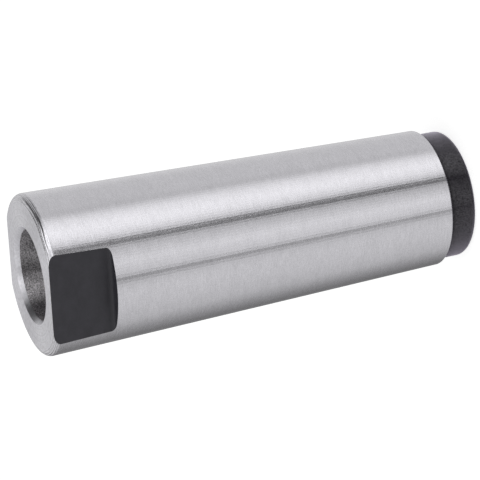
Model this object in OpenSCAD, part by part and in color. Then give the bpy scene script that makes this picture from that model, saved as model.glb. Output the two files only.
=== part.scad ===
// Reducing sleeve with a drawbar thread, turned and ground from one steel bar.
// A No. 4 taper outside fits a spindle, and a No. 2 tapered socket inside takes a tool.
// The sleeve stands on its small end at z = 0. Its axis is Z, with the socket's mouth at the top.
// The two spanner flats face -Y and +Y.

/* [Outer taper] */
// Overall length, from the small end to the nose face
body_len = 88.5; // [82:0.5:120]
// Outer diameter at the gauge plane
gauge_d = 31.267; // [29:0.001:36]
// Depth of the gauge plane below the nose face
gauge_depth = 6.5; // [1:0.1:12]
// Length over which the outer diameter grows by 1
outer_rate = 19.254; // [18:0.001:22]
// Radius of the turned round between the nose face and the taper
nose_round = 1.3; // [0.2:0.05:1.8]

/* [Small end] */
// Length of the black relief shoulder at the small end
relief_len = 5.7; // [2:0.1:10]
// How far the relief shoulder lies under the ground taper
relief_step = 1; // [0.3:0.05:2]
// Radius of the round at the end of the relief shoulder
relief_round = 1.1; // [0.1:0.05:1.6]
// Fillet radius that the turning tool leaves at the foot of the shoulder
relief_fillet = 0.5; // [0.1:0.05:0.7]
// Width of the edge break where the ground taper starts
taper_edge = 0.2; // [0.05:0.05:0.25]

/* [Spanner flats] */
// Width across the two flats
across_flats = 25.8; // [24:0.1:28]
// Length of the flats, from the nose face
flat_len = 12.2; // [6:0.1:20]
// Corner radius that the milling cutter leaves at the end of a flat
flat_corner = 0.9; // [0.1:0.05:1.2]

/* [Socket] */
// Socket diameter at the nose face
socket_d = 17.78; // [16.5:0.01:18.5]
// Length over which the socket narrows by 1
socket_rate = 20.02; // [18:0.01:22]
// Length of the tapered part of the socket
socket_len = 57.7; // [45:0.1:64]
// Width of the chamfer at the socket's mouth
mouth_edge = 0.68; // [0.2:0.02:1.5]
// Included angle of the chamfer at the socket's mouth
mouth_angle = 75; // [40:1:100]

/* [Drawbar thread] */
// Nominal diameter of the thread
thread_d = 16; // [12:1:18]
// Pitch of the thread
thread_pitch = 2; // [1:0.25:2.5]
// Length of the threaded hole, from the small end
thread_len = 16; // [8:0.5:22]
// Width of the countersink outside the thread
thread_edge = 0.5; // [0.2:0.1:1.5]
// Included angle of the countersink
thread_angle = 60; // [40:1:120]
// Length of the recess at the inner end of the thread
recess_len = 5.5; // [2:0.5:8]
// Clearance of the recess around the thread
recess_clear = 0.25; // [0.1:0.05:0.8]

/* [Hidden] */
$fn = 128;

// How far a cutter reaches past the face that it opens
over = 1;
// Core diameter of a metric thread: the nominal one less this many pitches
core_pitches = 1.0825;
// Share of the step's face that the fillet at its foot always leaves flat
flat_share = 0.2;

ground_colour = [0.74, 0.74, 0.76];
black_colour = [0.21, 0.21, 0.22];
bore_colour = [0.5, 0.49, 0.48];

function outer_d(z) = gauge_d - (body_len - gauge_depth - z) / outer_rate;
function socket_bore_d(z) = socket_d - (body_len - z) / socket_rate;

nose_d = outer_d(body_len);
relief_d = outer_d(relief_len) - 2 * relief_step;
foot_fillet = min(relief_fillet, (1 - flat_share) * (relief_step - taper_edge));
flat_z = body_len - flat_len;
core_d = thread_d - core_pitches * thread_pitch;
recess_d = thread_d + 2 * recess_clear;
recess_z = thread_len + recess_len;
socket_z = body_len - socket_len;
pilot_d = socket_bore_d(socket_z);

// The bar, with the ground taper run on to the small end
module ground_taper() {
  color(ground_colour)
    cylinder(h = body_len, d1 = outer_d(0), d2 = nose_d);
}

// What the turning tool takes off at the small end, down to the shoulder that passes freely
// through the spindle. It leaves a fillet at the shoulder's foot, a round at its end and an
// edge break where the ground taper starts.
module shoulder_cut() {
  depth = relief_step + over;
  edge_z = relief_len + taper_edge;
  edge_r = outer_d(edge_z) / 2;
  color(black_colour)
    rotate_extrude()
      union() {
        translate([relief_d / 2, -over])
          square([depth, over + relief_len - foot_fillet]);
        translate([relief_d / 2 + foot_fillet, -over])
          square([depth - foot_fillet, over + relief_len]);
        translate([relief_d / 2 + foot_fillet, relief_len - foot_fillet])
          circle(r = foot_fillet);
        translate([relief_d / 2 - relief_round, -over])
          difference() {
            square([relief_round + over, over + relief_round]);
            translate([0, over + relief_round])
              circle(r = relief_round);
          }
        polygon([
          [edge_r - taper_edge, relief_len - taper_edge],
          [edge_r - taper_edge, relief_len],
          [edge_r + over, edge_z + over],
          [edge_r + over, relief_len - taper_edge]
        ]);
      }
}

// What is turned away round the nose: a square ring whose inner corner is a quarter round
module nose_round_cut() {
  color(ground_colour)
    rotate_extrude()
      translate([nose_d / 2 - nose_round, body_len - nose_round])
        difference() {
          square(nose_round + over);
          circle(r = nose_round);
        }
}

// What the milling cutter takes off for one flat, with its corner radius left at the inner end
module flat_cut() {
  depth = nose_d / 2 - across_flats / 2 + over;
  color(black_colour)
    translate([-nose_d / 2 - over, -across_flats / 2, flat_z])
      rotate([90, 0, 90])
        linear_extrude(nose_d + 2 * over)
          mirror([1, 0])
            union() {
              translate([flat_corner, flat_corner])
                circle(r = flat_corner);
              translate([0, flat_corner])
                square([depth, flat_len + over - flat_corner]);
              translate([flat_corner, 0])
                square([depth - flat_corner, flat_len + over]);
            }
}

// The socket: its chamfered mouth, the ground taper and the straight bore behind it
module socket_cut() {
  mouth_d = socket_d + 2 * mouth_edge;
  mouth_slope = tan(mouth_angle / 2);
  mouth_depth = mouth_edge / mouth_slope;
  overlap = 2 * over * mouth_slope;
  color(bore_colour) {
    translate([0, 0, socket_z])
      cylinder(h = socket_len + over, d1 = pilot_d, d2 = socket_bore_d(body_len + over));
    translate([0, 0, recess_z])
      cylinder(h = socket_z - recess_z, d = pilot_d);
    translate([0, 0, body_len - mouth_depth - over])
      cylinder(h = mouth_depth + 2 * over, d1 = socket_d - overlap, d2 = mouth_d + overlap);
  }
}

// The hole for the drawbar: its countersink, the thread's core and the recess behind it
module drawbar_cut() {
  sink_d = thread_d + 2 * thread_edge;
  sink_slope = tan(thread_angle / 2);
  sink_depth = (sink_d - core_d) / 2 / sink_slope;
  color(bore_colour) {
    translate([0, 0, -over])
      cylinder(h = over + thread_len, d = core_d);
    translate([0, 0, -over])
      cylinder(h = over + sink_depth, d1 = sink_d + 2 * over * sink_slope, d2 = core_d);
    translate([0, 0, thread_len])
      cylinder(h = recess_len, d = recess_d);
  }
}

module sleeve() {
  difference() {
    ground_taper();
    shoulder_cut();
    nose_round_cut();
    flat_cut();
    rotate([0, 0, 180])
      flat_cut();
    socket_cut();
    drawbar_cut();
  }
}

sleeve();
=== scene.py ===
import math
import bpy
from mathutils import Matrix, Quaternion, Vector


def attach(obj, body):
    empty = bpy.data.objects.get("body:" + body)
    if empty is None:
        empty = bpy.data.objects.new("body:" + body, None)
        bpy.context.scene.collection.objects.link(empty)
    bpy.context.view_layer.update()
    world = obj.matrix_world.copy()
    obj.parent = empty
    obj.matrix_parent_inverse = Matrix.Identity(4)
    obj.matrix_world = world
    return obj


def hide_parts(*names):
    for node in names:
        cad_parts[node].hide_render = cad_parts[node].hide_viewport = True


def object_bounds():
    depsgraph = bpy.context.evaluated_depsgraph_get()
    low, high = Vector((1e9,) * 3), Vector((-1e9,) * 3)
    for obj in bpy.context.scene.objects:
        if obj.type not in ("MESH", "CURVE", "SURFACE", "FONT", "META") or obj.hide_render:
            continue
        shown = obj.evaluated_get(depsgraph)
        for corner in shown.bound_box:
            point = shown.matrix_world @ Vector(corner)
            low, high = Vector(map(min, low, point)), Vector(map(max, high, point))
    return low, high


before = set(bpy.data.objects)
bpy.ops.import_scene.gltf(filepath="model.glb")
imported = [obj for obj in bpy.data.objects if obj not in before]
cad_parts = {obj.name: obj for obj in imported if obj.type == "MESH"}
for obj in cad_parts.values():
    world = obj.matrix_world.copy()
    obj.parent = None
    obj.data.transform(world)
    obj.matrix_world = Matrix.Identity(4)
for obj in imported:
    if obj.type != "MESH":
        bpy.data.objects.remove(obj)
cadLow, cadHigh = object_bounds()
mm = 0.001
print("frame loaded, CAD box", [round(v / mm, 2) for v in cadHigh - cadLow])


# One output socket, so that node maths can be written as an expression
class Wire:
    def __init__(self, net, socket):
        self.net = net
        self.socket = socket

    def fn(self, operation, *others):
        return self.net.maths(operation, self, *others)

    def within(self, low, high):
        return self.fn("MAXIMUM", low).fn("MINIMUM", high)

    def out(self, name):  # another output of the same node
        return Wire(self.net, pickSocket(self.socket.node.outputs, name))

    def __add__(self, other):
        return self.fn("ADD", other)

    def __radd__(self, other):
        return self.net.maths("ADD", other, self)

    def __sub__(self, other):
        return self.fn("SUBTRACT", other)

    def __rsub__(self, other):
        return self.net.maths("SUBTRACT", other, self)

    def __mul__(self, other):
        return self.fn("MULTIPLY", other)

    def __rmul__(self, other):
        return self.net.maths("MULTIPLY", other, self)

    def __truediv__(self, other):
        return self.fn("DIVIDE", other)

    def __rtruediv__(self, other):
        return self.net.maths("DIVIDE", other, self)


def pickSocket(sockets, key):
    if isinstance(key, int):
        return sockets[key]
    return next(s for s in sockets if s.name == key and s.enabled)


# A node tree with one way to add a node: its type, its settings, then its inputs
class Net:
    def __init__(self, tree):
        self.tree = tree
        tree.nodes.clear()

    def add(self, kind, settings=None, inputs=None, output=0):
        node = self.tree.nodes.new(kind)
        for name, value in (settings or {}).items():
            if name == "stops":
                self.setStops(node.color_ramp, value)
            else:
                setattr(node, name, value)
        for name, value in (inputs or {}).items():
            socket = pickSocket(node.inputs, name)
            if isinstance(value, Wire):
                self.tree.links.new(value.socket, socket)
            else:
                socket.default_value = value
        return Wire(self, pickSocket(node.outputs, output)) if node.outputs else node

    def setStops(self, ramp, stops):  # a stop is a place from 0 to 1 and a brightness
        while len(ramp.elements) < len(stops):
            ramp.elements.new(1)
        for element, (place, level) in zip(ramp.elements, stops):
            element.position = place
            element.color = grey(level)

    def maths(self, operation, *terms):
        return self.add("ShaderNodeMath", {"operation": operation}, dict(enumerate(terms)))

    def split(self, vector):  # the X of a vector, with Y and Z by out()
        return self.add("ShaderNodeSeparateXYZ", None, {0: vector})

    def here(self):  # the same for the place on the object
        return self.split(self.add("ShaderNodeTexCoord", None, None, "Object"))

    # A soft step from start to end, while the value goes from first to last
    def ease(self, value, first, last, start=0.0, end=1.0):
        return self.add("ShaderNodeMapRange", {"interpolation_type": "SMOOTHSTEP"}, {
            "Value": value, "From Min": first, "From Max": last, "To Min": start, "To Max": end})

    def mixColour(self, share, first, second):
        inputs = {"Factor": share, "A": first, "B": second}
        return self.add("ShaderNodeMix", {"data_type": "RGBA"}, inputs, "Result")


def grey(value, tint=(1, 1, 1)):
    return (*(value * t for t in tint), 1)


def fromAxis(place):  # the distance from the axis, of a place that split or here gives
    x, y = place.out("X"), place.out("Y")
    return (x * x + y * y).fn("SQRT")


# The sleeve's sizes are in millimetres. Its length comes from the frame.
sleeve = {
    "bodyLen": (cadHigh.z - cadLow.z) / mm,
    "gaugeRadius": 15.6335,
    "gaugeDepth": 6.5,  # of the gauge plane below the nose face
    "outerRate": 19.254,  # length over which the outer diameter grows by 1
    "noseRound": 1.3,
    "reliefLen": 5.7,
    "reliefStep": 1.0,
    "reliefRound": 1.1,
    "reliefFillet": 0.5,
    "taperEdge": 0.2,
    "flatHalf": 12.9,  # from the axis to a flat
    "flatLen": 12.2,
    "flatCorner": 0.9,
    "socketRadius": 8.89,
    "socketRate": 20.02,  # length over which the socket's diameter narrows by 1
    "socketLen": 57.7,
    "mouthEdge": 0.68,
    "mouthSlope": math.tan(math.radians(37.5)),
    "threadRadius": 8.0,
    "threadPitch": 2.0,
    "threadLen": 16.0,
    "threadEdge": 0.5,
    "threadSlope": math.tan(math.radians(30)),
    "recessLen": 5.5,
    "recessClear": 0.25,
    "arcColumns": 64,  # round each ground side
    "flatColumns": 24,  # across each flat
    "turnsPerPitch": 16,  # rings in one pitch of the thread
    "steps": {  # from ring to ring along each other part
        "socket": 8, "round": 10, "nose": 6, "corner": 6, "taper": 12, "fillet": 5, "shoulder": 2, "end": 8},
    "holdRing": 0.1,  # how close to a round an extra ring keeps the plain part's shading plain
    "mergeGap": 0.002,
    "sharpBend": 22,  # degrees between two faces, from which their edge is sharp
    "edgeBreak": 0.1,
    "breakFrom": 1.3,  # edges further from the axis than this many thread radii are broken
}
finishes = ["ground", "round", "nose", "socket", "black", "flat"]
corePitches = 1.0825 / 2  # depth of a metric thread, in pitches
coreRadius = sleeve["threadRadius"] - corePitches * sleeve["threadPitch"]
flatStart = sleeve["bodyLen"] - sleeve["flatLen"]
roundStart = sleeve["bodyLen"] - sleeve["noseRound"]


def outerRadius(z):
    belowGauge = sleeve["bodyLen"] - sleeve["gaugeDepth"] - z
    return sleeve["gaugeRadius"] - belowGauge / (2 * sleeve["outerRate"])


def socketRadius(z):
    return sleeve["socketRadius"] - (sleeve["bodyLen"] - z) / (2 * sleeve["socketRate"])


def spread(first, last, steps):
    return [first + (last - first) * k / steps for k in range(steps + 1)]


# The same with one more value close to each end
def held(first, last, steps):
    close = math.copysign(sleeve["holdRing"], last - first)
    return [first] + spread(first + close, last - close, steps) + [last]


# Points round the centre r, z, with angles in degrees from the outward direction
def arc(r, z, radius, first, last, steps):
    turns = [math.radians(a) for a in spread(first, last, steps)]
    return [(r + radius * math.cos(a), z + radius * math.sin(a)) for a in turns]


# The section as one closed run of rings: up the inside, over the nose and down the outside.
# A ring has a radius, a height, the finish of the strip after it, and what is cut into it.
def sectionRings(s):
    rings, steps = [], s["steps"]

    def add(finish, points, milled=0, threaded=0):
        rings.extend((r, z, finishes.index(finish), milled, threaded) for r, z in points)

    def addGround(heights, milled=0):
        add("ground", [(outerRadius(z), z) for z in heights], milled)

    # The thread with its countersink, the recess, the straight bore and the socket
    top, threadTop, recessTop = s["bodyLen"], s["threadLen"], s["threadLen"] + s["recessLen"]
    sinkRadius = s["threadRadius"] + s["threadEdge"]
    turned = spread(0, threadTop, round(threadTop / s["threadPitch"] * s["turnsPerPitch"]))
    add("black", [(max(coreRadius, sinkRadius - z * s["threadSlope"]), z) for z in turned], threaded=1)
    recessRadius = s["threadRadius"] + s["recessClear"]
    socketStart = top - s["socketLen"]
    mouthStart = top - s["mouthEdge"] / (s["mouthSlope"] - 0.5 / s["socketRate"])
    add("socket", [(recessRadius, threadTop), (recessRadius, recessTop)])
    add("socket", [(socketRadius(socketStart), recessTop)])
    add("socket", [(socketRadius(z), z) for z in spread(socketStart, mouthStart, steps["socket"])])

    # The socket's last ring starts the chamfer, and the chamfer's last one the nose face
    rings[-1] = (*rings[-1][:2], finishes.index("nose"), 0, 0)
    add("nose", [(s["socketRadius"] + s["mouthEdge"], top)])
    add("round", arc(outerRadius(roundStart) - s["noseRound"], roundStart, s["noseRound"],
                     90, 0, steps["round"]), milled=1)

    # The ground side down to the shoulder, with rings that follow the corner at the flats' end
    addGround(held(roundStart, flatStart + s["flatCorner"], steps["nose"])[1:], milled=1)
    turns = [math.radians(a) for a in spread(0, 90, steps["corner"])[1:]]
    addGround([flatStart + s["flatCorner"] * (1 - math.sin(a)) for a in turns], milled=1)
    taperStart = s["reliefLen"] + s["taperEdge"]
    addGround(spread(flatStart, taperStart, steps["taper"]))

    # The shoulder's step, the fillet at its foot, its plain part and the round at its end
    reliefRadius = outerRadius(s["reliefLen"]) - s["reliefStep"]
    add("black", [(outerRadius(taperStart) - s["taperEdge"], s["reliefLen"])])
    foot, fillet, end = s["reliefLen"] - s["reliefFillet"], s["reliefFillet"], s["reliefRound"]
    add("black", arc(reliefRadius + fillet, foot, fillet, 90, 180, steps["fillet"]))
    add("black", [(reliefRadius, z) for z in held(foot, end, steps["shoulder"])[1:-1]])
    add("black", arc(reliefRadius - end, end, end, 0, -90, steps["end"]))
    rings.append(rings[0])
    return rings


# The rings as a plain line of points, with the finish and what is cut into each as attributes
def sectionMesh(rings):
    mesh = bpy.data.meshes.new("section")
    points = [(ring[0] * mm, 0, ring[1] * mm) for ring in rings]
    mesh.from_pydata(points, [(k, k + 1) for k in range(len(points) - 1)], [])
    for name, column in (("finish", 2), ("milled", 3), ("threaded", 4)):
        layer = mesh.attributes.new(name, "FLOAT", "POINT")
        layer.data.foreach_set("value", [float(ring[column]) for ring in rings])
    return mesh


treeInputs = {
    "NodeSocketGeometry": ["Geometry"],
    "NodeSocketInt": ["Arc Columns", "Flat Columns"],
    "NodeSocketFloat": ["Flat Half", "Flat Start", "Flat Corner", "Flat Foot Radius", "Thread Radius",
                        "Core Radius", "Thread Pitch"],
    "NodeSocketMaterial": finishes,
}


# Spins the section round Z, mills the two flats and cuts the thread, all by moving ring points
def sleeveTree():
    tree = bpy.data.node_groups.new("turnAndMill", "GeometryNodeTree")
    net = Net(tree)
    for kind, names in treeInputs.items():
        for name in names:
            tree.interface.new_socket(name, in_out="INPUT", socket_type=kind)
    tree.interface.new_socket("Geometry", in_out="OUTPUT", socket_type="NodeSocketGeometry")
    given = net.add("NodeGroupInput")

    # A sheet with a column of points for each step round the axis and a row for each ring
    size = {"component": "MESH"}
    rings = net.add("GeometryNodeAttributeDomainSize", size, {"Geometry": given}, "Point Count")
    arcColumns, flatColumns = given.out("Arc Columns"), given.out("Flat Columns")
    halfPeriod = arcColumns + flatColumns
    columns = 2 * halfPeriod
    sheet = net.add("GeometryNodeMeshGrid", None, {
        "Size X": rings - 1, "Size Y": columns, "Vertices X": rings, "Vertices Y": columns + 1})
    place = net.split(net.add("GeometryNodeInputPosition"))
    ringPlace, columnPlace = place.out("X") + (rings - 1) / 2, place.out("Y") + columns / 2
    ring, column = ringPlace.fn("ROUND"), columnPlace.fn("ROUND")

    def attribute(name):
        settings = {"data_type": "FLOAT"}
        return net.add("GeometryNodeInputNamedAttribute", settings, {"Name": name}, "Attribute")

    def stored(geometry, name, domain, value):
        settings = {"data_type": "FLOAT", "domain": domain}
        return net.add("GeometryNodeStoreNamedAttribute", settings, {
            "Geometry": geometry, "Name": name, "Value": value})

    def fromSection(value, index=ring, dataType="FLOAT"):
        return net.add("GeometryNodeSampleIndex", {"data_type": dataType}, {
            "Geometry": given, "Value": value, "Index": index}, "Value")

    point = net.split(fromSection(net.add("GeometryNodeInputPosition"), dataType="FLOAT_VECTOR"))
    plainRadius, height = point.out("X"), point.out("Z")
    milled, threaded = fromSection(attribute("milled")), fromSection(attribute("threaded"))

    # How far from the axis the cutter leaves metal: the flat, then its corner radius
    corner, flatHalf, flatFrom = given.out("Flat Corner"), given.out("Flat Half"), given.out("Flat Start")
    intoCorner = (flatFrom + corner - height).within(0, corner)
    leftHalf = flatHalf + corner - (corner * corner - intoCorner * intoCorner).fn("SQRT")

    # The angle between a flat's middle and its edge, so that a column always runs along that edge
    footEdge = ((flatHalf + corner) / given.out("Flat Foot Radius")).fn("ARCCOSINE")
    ownEdge = (leftHalf / plainRadius).fn("MINIMUM", 1).fn("ARCCOSINE")
    edge = milled * ownEdge + (1 - milled) * footEdge
    halfTurn = (column / halfPeriod).fn("FLOOR")

    # How far a column is through the first arc, the flat and the last arc of its half turn
    def rampsAt(column):
        along = column - (column / halfPeriod).fn("FLOOR") * halfPeriod
        halfArc = arcColumns / 2
        ramps = [along / halfArc, (along - halfArc) / flatColumns, (along - halfArc - flatColumns) / halfArc]
        return [ramp.within(0, 1) for ramp in ramps]

    firstArc, acrossFlat, lastArc = rampsAt(column)
    angle = halfTurn * math.pi + (math.pi / 2 - edge) * (firstArc + lastArc) + 2 * edge * acrossFlat

    # Each face keeps the finish of its strip, or that of the flats where they are milled
    stripBelow = ringPlace.fn("FLOOR")
    faceRamp = rampsAt(columnPlace)[1]
    betweenEdges = faceRamp.fn("GREATER_THAN", 0) * faceRamp.fn("LESS_THAN", 1)
    inFlat = betweenEdges * fromSection(attribute("milled"), stripBelow)
    own = fromSection(attribute("finish"), stripBelow)
    marked = stored(sheet, "finish", "FACE", own + inFlat * (finishes.index("flat") - own))

    # A metric thread: 60 degree flanks, an eighth of the pitch flat at the root
    pitch = given.out("Thread Pitch")
    turn = height / pitch - angle / (2 * math.pi)
    fromRoot = (turn.fn("FRACT") - 0.5).fn("ABSOLUTE") * pitch
    flank = given.out("Thread Radius") - (fromRoot - pitch / 16).fn("MAXIMUM", 0) * math.sqrt(3)
    groove = flank.fn("MAXIMUM", given.out("Core Radius"))
    radius = plainRadius + threaded * (groove.fn("MAXIMUM", plainRadius) - plainRadius)

    limit = leftHalf + (1 - milled)  # a metre further out where nothing is milled
    side = (radius * angle.fn("SINE")).within(0 - limit, limit)
    spun = net.add("ShaderNodeCombineXYZ", None, {0: radius * angle.fn("COSINE"), 1: side, 2: height})
    formed = net.add("GeometryNodeSetPosition", None, {"Geometry": marked, "Position": spun})
    joined = net.add("GeometryNodeMergeByDistance", None, {
        "Geometry": formed, "Distance": sleeve["mergeGap"] * mm})
    outward = net.add("GeometryNodeFlipFaces", None, {"Mesh": joined})

    # Sharp edges stay sharp, and the convex ones outside the thread get a small edge break
    bend, sharpBend = net.add("GeometryNodeInputMeshEdgeAngle"), math.radians(sleeve["sharpBend"])
    sharp = bend.out("Unsigned Angle").fn("GREATER_THAN", sharpBend)
    convex = bend.out("Signed Angle").fn("GREATER_THAN", sharpBend)
    smooth = net.add("GeometryNodeSetShadeSmooth", {"domain": "EDGE"}, {
        "Geometry": outward, "Selection": sharp, "Shade Smooth": False})
    breakRadius = given.out("Thread Radius") * sleeve["breakFrom"]
    outside = fromAxis(net.split(net.add("GeometryNodeInputPosition"))).fn("GREATER_THAN", breakRadius)
    dressed = stored(smooth, "bevel_weight_edge", "EDGE", convex * outside)

    kept = attribute("finish")
    for number, name in enumerate(finishes):
        chosen = (kept - number).fn("ABSOLUTE").fn("LESS_THAN", 0.5)
        dressed = net.add("GeometryNodeSetMaterial", None, {
            "Geometry": dressed, "Selection": chosen, "Material": given.out(name)})
    plain = net.add("GeometryNodeRealizeInstances", None, {"Geometry": dressed})
    net.add("NodeGroupOutput", None, {"Geometry": plain})
    return tree


def setInputs(modifier, values):
    for item in modifier.node_group.interface.items_tree:
        if item.in_out == "INPUT" and item.name in values:
            modifier[item.identifier] = values[item.name]


def addObject(name, data):
    thing = bpy.data.objects.new(name, data)
    bpy.context.scene.collection.objects.link(thing)
    return thing


# Applies an object's modifiers and leaves it as a plain mesh
def makePlain(thing):
    bpy.context.view_layer.update()
    mesh = bpy.data.meshes.new_from_object(thing.evaluated_get(bpy.context.evaluated_depsgraph_get()))
    thing.modifiers.clear()
    thing.data = mesh
    mesh.name = thing.name


def newMaterial(name):
    material = bpy.data.materials.new(name)
    material.use_nodes = True
    return material, Net(material.node_tree)


# Noise in object coordinates, counted per millimetre round the axis and along it
def grainAt(net, around, along, detail):
    where = net.add("ShaderNodeTexCoord", None, None, "Object")
    scale = (around / mm, around / mm, along / mm)
    stretch = net.add("ShaderNodeMapping", None, {"Vector": where, "Scale": scale})
    return net.add("ShaderNodeTexNoise", None, {
        "Vector": stretch, "Scale": 1.0, "Detail": detail, "Roughness": 0.6}, "Fac")


# A tone between darker and lighter by a contrast, following a grain stretched about its middle
def grained(net, worn, look):
    share = (worn - 0.5) * look["stretch"] + 0.5
    darker, lighter = 1 - look["contrast"], 1 + look["contrast"]
    return net.mixColour(share, grey(darker, look["tone"]), grey(lighter, look["tone"]))


def raised(net, height, depth):
    return net.add("ShaderNodeBump", None, {"Height": height, "Distance": depth * mm, "Strength": 1.0})


def shade(net, inputs):
    surface = net.add("ShaderNodeBsdfPrincipled", None, inputs)
    net.add("ShaderNodeOutputMaterial", None, {"Surface": surface})


# Grinding leaves lines round the axis and a speck. Counts are per millimetre, heights in millimetres.
groundTaper = {
    "tone": (0.80, 0.79, 0.83),
    "roughness": 0.2,
    "roughSpread": 0.1,  # how much the roughness follows the grain
    "around": 0.7,  # count of the lines' noise round the axis
    "along": 4.5,  # and along it
    "lineHeight": 0.009,
    "specks": 4.5,
    "speckHeight": 0.009,
    "coarser": (4, 8),  # how much wider the broad grain is, round the axis and along it
    "shares": (0.4, 0.2, 0.4),  # of the lines, the broad grain and the speck in the wear
    "stretch": 3.0,
    "contrast": 0.13,
}
groundSocket = {
    **groundTaper,
    "tone": (0.57, 0.55, 0.57),
    "roughness": 0.47,
    "around": 2.6,
    "lineHeight": 0.004,
    "speckHeight": 0.004,
    "stretch": 4.5,
    "contrast": 0.65,
    "shade": (70, 83, 0.25),  # heights between which the socket's colour darkens as painted shade deeper in the bore, and the share that is left
}


# The lines spread the light along the axis. The speck is the same each way.
def groundSteel(name, look):
    material, net = newMaterial(name)
    around, along, specks = look["around"], look["along"], look["specks"]
    fine = grainAt(net, around, along, 2.0)
    broad = grainAt(net, around / look["coarser"][0], along / look["coarser"][1], 3.0)
    speck = grainAt(net, specks, specks, 1.0)
    ofFine, ofBroad, ofSpeck = look["shares"]
    worn = fine * ofFine + broad * ofBroad + speck * ofSpeck
    height = fine + speck * (look["speckHeight"] / look["lineHeight"])
    colour = grained(net, worn, look)
    # Painted shade: the colour darkens deeper in the socket
    if "shade" in look:
        low, high, left = look["shade"]
        paintedDepthShade = net.ease(net.here().out("Z"), low * mm, high * mm, left)
        colour = net.mixColour(paintedDepthShade, grey(0), colour)
    shade(net, {
        "Base Color": colour, "Metallic": 1.0,
        "Roughness": look["roughness"] + (worn - 0.5) * look["roughSpread"],
        "Anisotropic": 1.0, "Anisotropic Rotation": 0.25,
        "Normal": raised(net, height, look["lineHeight"])})
    return material


# The nose face and the chamfer are turned, and the round keeps the coarse rings of the tool
turnedNose = {
    "tone": (0.74, 0.7326, 0.7696),
    "roughness": 0.36,
    "anisotropic": 0.8,
    "specks": 1.8,
    "marks": 4.0,  # count of the fine turning marks
    "fineShare": 0.1,  # of the speck and of the marks in the bump
    "height": 0.05,
    "stretch": 3.0,
    "contrast": 0.22,
}
turnedRound = {
    **turnedNose,
    "roughness": 0.26,
    "anisotropic": 0.5,
    "ringPitch": 0.75,
    "ringShare": 0.9,
    "ringStart": (0.3, 1.0),  # where the rings begin and where they are full, as height less radius
    "wander": (0.15, 2),  # count of the noise that bends the rings, and its reach in pitches
}


def turnedSteel(name, look):
    material, net = newMaterial(name)
    specks = grainAt(net, look["specks"], look["specks"], 3.0)
    where = net.here()
    across = (where.out("Z") - fromAxis(where)) / mm  # grows over the round and towards the axis
    marks = net.add("ShaderNodeTexNoise", {"noise_dimensions": "1D"}, {
        "W": across, "Scale": look["marks"], "Detail": 1.0}, "Fac")
    height = specks * look["fineShare"] + marks * look["fineShare"]
    if "ringPitch" in look:
        reach = net.ease(across - (roundStart - outerRadius(roundStart)), *look["ringStart"])
        count, pitches = look["wander"]
        wave = across / look["ringPitch"] + grainAt(net, count, count, 2.0) * pitches
        height = height + (wave * 2 * math.pi).fn("SINE") * look["ringShare"] * reach
    worn = specks * 0.5 + marks * 0.5
    shade(net, {
        "Base Color": grained(net, worn, look), "Metallic": 1.0, "Roughness": look["roughness"],
        "Anisotropic": look["anisotropic"], "Anisotropic Rotation": 0.25,
        "Normal": raised(net, height, look["height"])})
    return material


# A black oxide with a rubbed shine that follows its specks and clouds. Near the first height of its fade
# only the share left shines: painted shade.
blackOxide = {
    "specks": 3.0,
    "clouds": (0.3, 0.5),  # counts round the axis and along it
    "ior": 1.25,
    "roughSpread": 0.25,
    "sheenRoughness": 0.48,
}
blackShoulder = {
    **blackOxide,
    "tones": (0.003, 0.008),
    "tint": (1.0, 0.92, 1.12),
    "roughness": 0.3,
    "grain": 0.02,  # height of the bump
    "paintedShadeFade": (5.2, 4.6),  # painted shade: dull at the shoulder's foot, under the step
    "left": 0.2,
    "shine": 0.72,
    "coatRoughness": 0.13,
    "sheen": 1.0,
    "speckle": 5.0,  # how much the shine follows the specks
    "cloud": 1.2,  # and the clouds
}
blackFlats = {
    **blackOxide,
    "tones": (0.025, 0.038),
    "tint": (1.0, 0.98, 1.1),
    "roughness": 0.5,
    "grain": 0.008,
    "paintedShadeFade": (76.8, 79.4),  # painted shade: dull near the wall at the flat's end
    "left": 0.7,
    "shine": 1.0,
    "coatRoughness": 0.5,
    "sheen": 0.0,
    "speckle": 0.4,
    "cloud": 0.4,
}


def blackFinish(name, look):
    material, net = newMaterial(name)
    speck = grainAt(net, look["specks"], look["specks"], 3.0)
    cloud = grainAt(net, *look["clouds"], 2.0)
    # Painted shade near the fade's first height, and real grain from the specks and clouds
    shadedAt, bright = look["paintedShadeFade"]
    shineAndPaintedShade = net.ease(net.here().out("Z"), shadedAt * mm, bright * mm, look["left"], look["shine"])
    shineAndPaintedShade = shineAndPaintedShade * (1 + (speck - 0.5) * look["speckle"] + (cloud - 0.5) * look["cloud"])
    darker, lighter = (grey(tone, look["tint"]) for tone in look["tones"])
    tint = grey(1, look["tint"])
    shade(net, {
        "Base Color": net.mixColour(cloud, darker, lighter), "Metallic": 0.0, "IOR": look["ior"],
        "Roughness": look["roughness"] + (speck - 0.5) * look["roughSpread"],
        "Coat Weight": shineAndPaintedShade, "Coat Roughness": look["coatRoughness"], "Coat Tint": tint,
        "Sheen Weight": look["sheen"], "Sheen Roughness": look["sheenRoughness"], "Sheen Tint": tint,
        "Normal": raised(net, speck, look["grain"])})
    return material


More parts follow.
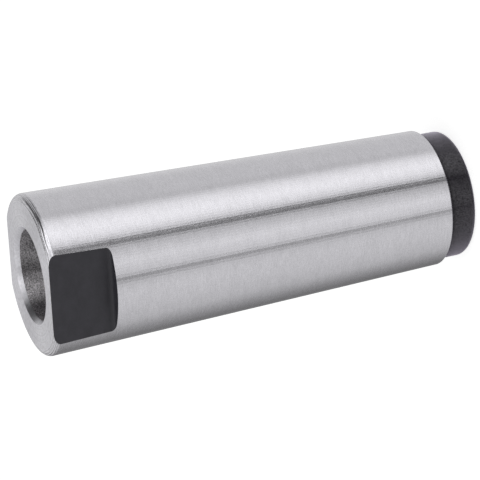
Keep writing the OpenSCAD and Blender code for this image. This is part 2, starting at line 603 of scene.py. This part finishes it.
def makeSleeve():
    thing = addObject("steel_sleeve", sectionMesh(sectionRings(sleeve)))
    form = thing.modifiers.new("turnAndMill", "NODES")
    form.node_group = sleeveTree()
    setInputs(form, {
        "Arc Columns": sleeve["arcColumns"],
        "Flat Columns": sleeve["flatColumns"],
        "Flat Half": sleeve["flatHalf"] * mm,
        "Flat Start": flatStart * mm,
        "Flat Corner": sleeve["flatCorner"] * mm,
        "Flat Foot Radius": outerRadius(flatStart) * mm,
        "Thread Radius": sleeve["threadRadius"] * mm,
        "Core Radius": coreRadius * mm,
        "Thread Pitch": sleeve["threadPitch"] * mm,
        "ground": groundSteel("groundTaper", groundTaper),
        "round": turnedSteel("turnedRound", turnedRound),
        "nose": turnedSteel("turnedNose", turnedNose),
        "socket": groundSteel("groundSocket", groundSocket),
        "black": blackFinish("blackShoulder", blackShoulder),
        "flat": blackFinish("blackFlats", blackFlats),
    })
    edges = thing.modifiers.new("edgeBreak", "BEVEL")
    edges.limit_method = "WEIGHT"
    edges.width = sleeve["edgeBreak"] * mm
    edges.segments = 2
    edges.harden_normals = True
    edges.material = finishes.index("round")  # a broken edge is bright, also beside the black finish
    makePlain(thing)
    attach(thing, "root")
    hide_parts("sleeve")
    print("sleeve made,", len(thing.data.polygons), "faces")


# A round tent of soft light, nearly dark below and in three tiers above that fade into each other.
# A stop is a compass place in degrees, from +X towards -Y, and a brightness. Sizes are in millimetres.
tent = {
    "radius": 900,
    "foot": -6000,
    "height": 2800,
    "segments": 120,
    "start": -110,  # the place where the tiers' stops begin
    "lean": (-30, 0.11),  # the place where the tiers' borders are highest, and their slope
    "under": 0.05,
    "low": [
        (-110, 0.59), (-98, 0.66), (-90, 0.70), (-65, 0.62), (-27, 0.63), (-17, 0.56), (-9, 0.80),
        (-2, 0.94), (12, 1.03), (23, 0.94), (35, 0.62), (39, 0.10), (43, 0.08), (47, 0.47), (71, 0.86),
        (88, 0.76), (91.5, 0.72), (94, 0.34), (97, 0.34), (101, 0.62), (114, 0.67), (140, 0.63),
        (165, 0.55), (190, 0.30), (212, 0.17), (228, 0.20), (250, 0.59)],
    "high": [
        (-110, 0.68), (-84, 0.50), (-68, 0.10), (-56, 0.03), (-12, 0.02), (4, 1.15), (18, 1.75),
        (30, 1.50), (48, 1.20), (60, 0.70), (76, 0.20), (84, 0.03), (95, 0.03), (104, 0.45),
        (118, 0.72), (150, 0.54), (190, 0.58), (225, 0.56), (245, 0.68)],
    "top": [
        (-110, 0.80), (-84, 0.60), (-68, 0.10), (-56, 0.03), (-12, 0.02), (5, 0.22), (20, 0.60),
        (48, 0.95), (60, 1.05), (76, 0.70), (84, 0.40), (94, 0.40), (102, 0.85), (125, 0.80),
        (150, 0.68), (190, 0.62), (225, 0.62), (245, 0.80)],
    "fades": {"low": (-1500, -1000), "high": (-95, 275), "top": (500, 1000)},  # where each takes over
}


def makeTent():
    segments, radius = tent["segments"], tent["radius"] * mm
    turns = [2 * math.pi * k / segments for k in range(segments)]
    points = [(radius * math.cos(a), radius * math.sin(a), z) for a in turns
              for z in (tent["foot"] * mm, tent["height"] * mm)]
    columns = [(2 * k, 2 * ((k + 1) % segments)) for k in range(segments)]
    mesh = bpy.data.meshes.new("lightTent")
    mesh.from_pydata(points, [], [(a, a + 1, b + 1, b) for a, b in columns])
    wall = addObject("lightTent", mesh)
    material, net = newMaterial("tentCloth")
    where = net.here()
    x, y, z = where.out("X"), where.out("Y"), where.out("Z")
    degrees = (0 - y).fn("ARCTAN2", x) * (180 / math.pi)
    place = ((degrees - tent["start"]) / 360).fn("FRACT")
    toward, slope = math.radians(tent["lean"][0]), tent["lean"][1]
    border = x * (slope * math.cos(toward)) - y * (slope * math.sin(toward))
    colour = grey(tent["under"])
    for name, (begin, full) in tent["fades"].items():
        stops = [((at - tent["start"]) / 360, level) for at, level in tent[name]]
        tier = net.add("ShaderNodeValToRGB", {"stops": stops}, {"Fac": place})
        colour = net.mixColour(net.ease(z - border, begin * mm, full * mm), colour, tier)
    glow = net.add("ShaderNodeEmission", None, {"Color": colour})
    net.add("ShaderNodeOutputMaterial", None, {"Surface": glow})
    mesh.materials.append(material)
    wall.visible_camera = False


floorLook = {
    "half": 700,  # from the middle to a side, in millimetres
    "colour": 0.5,
    "lift": 0.8,  # brightness added for the camera
    "foot": 11,  # radius of the spot under the sleeve that stays closed
}


# A pale floor, lifted to white for the camera alone, so that only the sleeve's own shadow shows.
# Shiny surfaces see the tent through it, except under the sleeve, where it closes the hole.
def makeFloor():
    half = floorLook["half"] * mm
    corners = [(-half, -half, 0), (half, -half, 0), (half, half, 0), (-half, half, 0)]
    mesh = bpy.data.meshes.new("floor")
    mesh.from_pydata(corners, [], [(0, 1, 2, 3)])
    floor = addObject("floor", mesh)
    material, net = newMaterial("paleFloor")
    path = net.add("ShaderNodeLightPath", None, None, "Is Camera Ray")
    clear = fromAxis(net.here()).fn("GREATER_THAN", floorLook["foot"] * mm)
    paint = net.add("ShaderNodeBsdfDiffuse", None, {"Color": grey(floorLook["colour"])})
    glow = net.add("ShaderNodeEmission", None, {"Color": grey(1), "Strength": floorLook["lift"]})
    bright = net.add("ShaderNodeAddShader", None, {0: paint, 1: glow})
    lifted = net.add("ShaderNodeMixShader", None, {0: path * clear, 1: paint, 2: bright})
    passing = net.add("ShaderNodeBsdfTransparent")
    throughFloor = path.out("Is Glossy Ray") * clear
    seen = net.add("ShaderNodeMixShader", None, {0: throughFloor, 1: lifted, 2: passing})
    net.add("ShaderNodeOutputMaterial", None, {"Surface": seen})
    mesh.materials.append(material)


studio = {"soft": 0.7, "white": 1}


# White for what the camera and shiny surfaces see, and plain soft light for the rest
def makeWorld():
    world = bpy.data.worlds.new("studio")
    bpy.context.scene.world = world
    world.use_nodes = True
    net = Net(world.node_tree)
    path = net.add("ShaderNodeLightPath", None, None, "Is Camera Ray")
    seen = (path + path.out("Is Glossy Ray") + path.out("Is Transmission Ray")).fn("MINIMUM", 1)
    soft = net.add("ShaderNodeBackground", None, {"Color": grey(studio["soft"])})
    white = net.add("ShaderNodeBackground", None, {"Color": grey(studio["white"])})
    sky = net.add("ShaderNodeMixShader", None, {0: seen, 1: soft, 2: white})
    net.add("ShaderNodeOutputWorld", None, {"Surface": sky})


# The camera's place round the sleeve, in degrees and millimetres.
# It is rolled, so that the standing sleeve lies across the picture.
camera = {
    "azimuth": 25.09,
    "elevation": 19.48,
    "distance": 480.0,
    "aim": (-1.03, -0.48, 45.62),
    "roll": 101.3,
    "lens": 184.18,
    "sensor": 36,
    "clip": (10, 10000),
}


def makeCamera():
    azimuth, elevation = math.radians(camera["azimuth"]), math.radians(camera["elevation"])
    outward = math.cos(elevation)
    back = Vector((math.sin(azimuth) * outward, -math.cos(azimuth) * outward, math.sin(elevation)))
    eye = addObject("camera", bpy.data.cameras.new("camera"))
    eye.data.lens = camera["lens"]
    eye.data.sensor_width = camera["sensor"]
    eye.data.clip_start, eye.data.clip_end = (reach * mm for reach in camera["clip"])
    eye.location = (Vector(camera["aim"]) + back * camera["distance"]) * mm
    eye.rotation_mode = "QUATERNION"
    roll = Quaternion((0, 0, 1), math.radians(-camera["roll"]))
    eye.rotation_quaternion = (-back).to_track_quat("-Z", "Y") @ roll
    bpy.context.scene.camera = eye


bpy.context.scene.view_settings.view_transform = "Standard"
makeCamera()
makeWorld()
makeTent()
makeFloor()
print("stage set")
makeSleeve()
